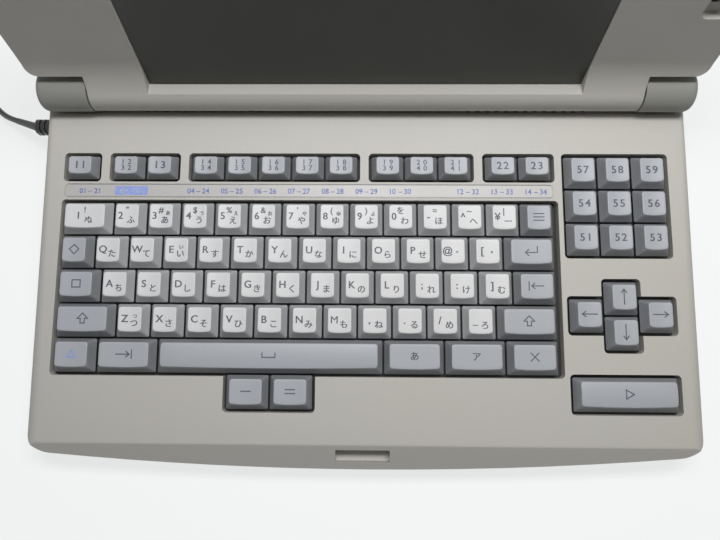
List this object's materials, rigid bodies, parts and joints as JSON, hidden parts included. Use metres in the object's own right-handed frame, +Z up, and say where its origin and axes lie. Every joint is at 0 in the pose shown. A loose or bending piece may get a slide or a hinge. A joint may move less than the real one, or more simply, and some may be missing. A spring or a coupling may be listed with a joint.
{
  "type": "electronic word processor",
  "caption": "Portable word processor with a hinged screen lid, full keyboard, numeric and arrow pads, built-in thermal printer, disc drive and mains lead.",
  "frame": {"origin": "centre of the machine's footprint on the desk, without its mains lead", "axes": "+X to the right along the width, -Y towards the user, +Z up"},
  "size_m": [0.5364, 0.3459, 0.2564],
  "materials": {
    "case_plastic": "fine moulded texture",
    "lid_plastic": "fine moulded texture",
    "key_light": "fine moulded texture",
    "key_grey": "fine moulded texture",
    "label_print": "printed film",
    "screen": "dark matt panel",
    "black_rubber": "matt",
    "black_plastic": "matt",
    "cord_black": "matt vinyl",
    "board_green": "varnished board",
    "steel": "plain",
    "zinc_sheet": "plated sheet",
    "black_sheet": "black paint",
    "gear_plastic": "plain",
    "motor_metal": "plated",
    "brass": "plated"
  },
  "bodies": {
    "base": {"bottom_case": "case_plastic", "top_case": "case_plastic", "keyboard_plate": "black_sheet", "label_strip": "label_print", "case_screws": "steel", "rubber_feet": "black_rubber", "hinge_barrels": "case_plastic", "hinge_pins": "steel", "printer_frame": "zinc_sheet", "feed_motor": "motor_metal", "carriage_shaft": "steel", "main_board": "board_green", "power_supply": "zinc_sheet", "power_inlet": "black_plastic", "floppy_drive": "black_plastic", "cord_connector": "cord_black", "cord_lead": "cord_black", "cord_coil": "cord_black", "cord_tail": "cord_black", "wall_plug": "cord_black"},
    "lid": {"lid_bezel": "lid_plastic", "lid_back_cover": "lid_plastic", "lcd_panel": "screen", "backlight_board": "board_green", "lid_bumpers": "black_rubber"},
    "latch": {"lid_latch": "lid_plastic"},
    "contrast_dial": {"contrast_wheel": "black_plastic"},
    "cover": {"printer_cover": "case_plastic"},
    "platen": {"platen_roller": "black_rubber", "platen_knob": "key_grey", "platen_gear": "gear_plastic"},
    "pinion": {"feed_pinion": "brass"},
    "carriage": {"print_carriage": "black_plastic", "ribbon_cassette": "black_plastic"},
    "switch": {"power_switch": "black_plastic"},
    "eject": {"eject_button": "key_grey"},
    "keys_number_row_body": {"keys_number_row": "key_light"},
    "key_menu_body": {"key_menu": "key_grey"},
    "keys_upper_row_body": {"keys_upper_row": "key_light"},
    "key_return_body": {"key_return": "key_grey"},
    "keys_home_row_body": {"keys_home_row": "key_light"},
    "key_backspace_body": {"key_backspace": "key_grey"},
    "key_shift_left_body": {"key_shift_left": "key_grey"},
    "keys_lower_row_body": {"keys_lower_row": "key_light"},
    "key_shift_right_body": {"key_shift_right": "key_grey"},
    "keys_mode_body": {"keys_mode": "key_grey"},
    "key_tab_body": {"key_tab": "key_grey"},
    "key_space_body": {"key_space": "key_grey"},
    "keys_kana_body": {"keys_kana": "key_grey"},
    "key_no_convert_body": {"key_no_convert": "key_grey"},
    "key_convert_body": {"key_convert": "key_grey"},
    "keys_function_left_body": {"keys_function_left": "key_grey"},
    "keys_function_middle_body": {"keys_function_middle": "key_grey"},
    "keys_function_right_body": {"keys_function_right": "key_grey"},
    "keys_page_pad_body": {"keys_page_pad": "key_grey"},
    "key_up_body": {"key_up": "key_grey"},
    "key_down_body": {"key_down": "key_grey"},
    "key_left_body": {"key_left": "key_grey"},
    "key_right_body": {"key_right": "key_grey"},
    "key_execute_body": {"key_execute": "key_grey"}
  },
  "joints": [
    {"name": "lid_hinge", "type": "hinge", "parent": "base", "child": "lid", "pos_m": [0, 0.03957, 0.05313], "axis": [1, 0, 0], "range_deg": [-15, 107]},
    {"name": "latch_slide", "type": "slide", "parent": "lid", "child": "latch", "axis": [0, -0.2164, -0.9763], "range_m": [0, 0.0026]},
    {"name": "contrast_turn", "type": "hinge", "parent": "lid", "child": "contrast_dial", "pos_m": [0.1675, 0.05882, 0.12056], "axis": [1, 0, 0], "range_deg": [-135, 135]},
    {"name": "cover_hinge", "type": "hinge", "parent": "base", "child": "cover", "pos_m": [0, 0.14044, 0.0709], "axis": [-1, 0, 0], "range_deg": [0, 100]},
    {"name": "platen_turn", "type": "hinge", "parent": "base", "child": "platen", "pos_m": [0, 0.137, 0.055], "axis": [1, 0, 0], "continuous": true},
    {"name": "pinion_turn", "type": "hinge", "parent": "base", "child": "pinion", "pos_m": [-0.138, 0.11875, 0.055], "axis": [1, 0, 0], "continuous": true},
    {"name": "carriage_slide", "type": "slide", "parent": "base", "child": "carriage", "axis": [1, 0, 0], "range_m": [0, 0.18]},
    {"name": "switch_slide", "type": "slide", "parent": "base", "child": "switch", "axis": [0, 1, 0], "range_m": [0, 0.006]},
    {"name": "eject_press", "type": "slide", "parent": "base", "child": "eject", "axis": [-1, 0, 0], "range_m": [0, 0.003], "stiffness_N_per_m": 150, "springref_m": -0.001},
    {"name": "keys_number_row_press", "type": "slide", "parent": "base", "child": "keys_number_row_body", "axis": [0, 0.0785, -0.9969], "range_m": [0, 0.003], "stiffness_N_per_m": 2210, "springref_m": -0.001},
    {"name": "key_menu_press", "type": "slide", "parent": "base", "child": "key_menu_body", "axis": [0, 0.0785, -0.9969], "range_m": [0, 0.003], "stiffness_N_per_m": 170, "springref_m": -0.001},
    {"name": "keys_upper_row_press", "type": "slide", "parent": "base", "child": "keys_upper_row_body", "axis": [0, 0.0785, -0.9969], "range_m": [0, 0.003], "stiffness_N_per_m": 2040, "springref_m": -0.001},
    {"name": "key_return_press", "type": "slide", "parent": "base", "child": "key_return_body", "axis": [0, 0.0785, -0.9969], "range_m": [0, 0.003], "stiffness_N_per_m": 170, "springref_m": -0.001},
    {"name": "keys_home_row_press", "type": "slide", "parent": "base", "child": "keys_home_row_body", "axis": [0, 0.0785, -0.9969], "range_m": [0, 0.003], "stiffness_N_per_m": 2040, "springref_m": -0.001},
    {"name": "key_backspace_press", "type": "slide", "parent": "base", "child": "key_backspace_body", "axis": [0, 0.0785, -0.9969], "range_m": [0, 0.003], "stiffness_N_per_m": 170, "springref_m": -0.001},
    {"name": "key_shift_left_press", "type": "slide", "parent": "base", "child": "key_shift_left_body", "axis": [0, 0.0785, -0.9969], "range_m": [0, 0.003], "stiffness_N_per_m": 170, "springref_m": -0.001},
    {"name": "keys_lower_row_press", "type": "slide", "parent": "base", "child": "keys_lower_row_body", "axis": [0, 0.0785, -0.9969], "range_m": [0, 0.003], "stiffness_N_per_m": 1870, "springref_m": -0.001},
    {"name": "key_shift_right_press", "type": "slide", "parent": "base", "child": "key_shift_right_body", "axis": [0, 0.0785, -0.9969], "range_m": [0, 0.003], "stiffness_N_per_m": 170, "springref_m": -0.001},
    {"name": "keys_mode_press", "type": "slide", "parent": "base", "child": "keys_mode_body", "axis": [0, 0.0785, -0.9969], "range_m": [0, 0.003], "stiffness_N_per_m": 510, "springref_m": -0.001},
    {"name": "key_tab_press", "type": "slide", "parent": "base", "child": "key_tab_body", "axis": [0, 0.0785, -0.9969], "range_m": [0, 0.003], "stiffness_N_per_m": 170, "springref_m": -0.001},
    {"name": "key_space_press", "type": "slide", "parent": "base", "child": "key_space_body", "axis": [0, 0.0785, -0.9969], "range_m": [0, 0.003], "stiffness_N_per_m": 170, "springref_m": -0.001},
    {"name": "keys_kana_press", "type": "slide", "parent": "base", "child": "keys_kana_body", "axis": [0, 0.0785, -0.9969], "range_m": [0, 0.003], "stiffness_N_per_m": 510, "springref_m": -0.001},
    {"name": "key_no_convert_press", "type": "slide", "parent": "base", "child": "key_no_convert_body", "axis": [0, 0.0785, -0.9969], "range_m": [0, 0.003], "stiffness_N_per_m": 170, "springref_m": -0.001},
    {"name": "key_convert_press", "type": "slide", "parent": "base", "child": "key_convert_body", "axis": [0, 0.0785, -0.9969], "range_m": [0, 0.003], "stiffness_N_per_m": 170, "springref_m": -0.001},
    {"name": "keys_function_left_press", "type": "slide", "parent": "base", "child": "keys_function_left_body", "axis": [0, 0.0785, -0.9969], "range_m": [0, 0.003], "stiffness_N_per_m": 510, "springref_m": -0.001},
    {"name": "keys_function_middle_press", "type": "slide", "parent": "base", "child": "keys_function_middle_body", "axis": [0, 0.0785, -0.9969], "range_m": [0, 0.003], "stiffness_N_per_m": 850, "springref_m": -0.001},
    {"name": "keys_function_right_press", "type": "slide", "parent": "base", "child": "keys_function_right_body", "axis": [0, 0.0785, -0.9969], "range_m": [0, 0.003], "stiffness_N_per_m": 850, "springref_m": -0.001},
    {"name": "keys_page_pad_press", "type": "slide", "parent": "base", "child": "keys_page_pad_body", "axis": [0, 0.0785, -0.9969], "range_m": [0, 0.003], "stiffness_N_per_m": 1530, "springref_m": -0.001},
    {"name": "key_up_press", "type": "slide", "parent": "base", "child": "key_up_body", "axis": [0, 0.0785, -0.9969], "range_m": [0, 0.003], "stiffness_N_per_m": 170, "springref_m": -0.001},
    {"name": "key_down_press", "type": "slide", "parent": "base", "child": "key_down_body", "axis": [0, 0.0785, -0.9969], "range_m": [0, 0.003], "stiffness_N_per_m": 170, "springref_m": -0.001},
    {"name": "key_left_press", "type": "slide", "parent": "base", "child": "key_left_body", "axis": [0, 0.0785, -0.9969], "range_m": [0, 0.003], "stiffness_N_per_m": 170, "springref_m": -0.001},
    {"name": "key_right_press", "type": "slide", "parent": "base", "child": "key_right_body", "axis": [0, 0.0785, -0.9969], "range_m": [0, 0.003], "stiffness_N_per_m": 170, "springref_m": -0.001},
    {"name": "key_execute_press", "type": "slide", "parent": "base", "child": "key_execute_body", "axis": [0, 0.0785, -0.9969], "range_m": [0, 0.003], "stiffness_N_per_m": 170, "springref_m": -0.001}
  ],
  "couplings": [
    {"joint": "pinion_turn", "follows": "platen_turn", "ratio": -2}
  ]
}
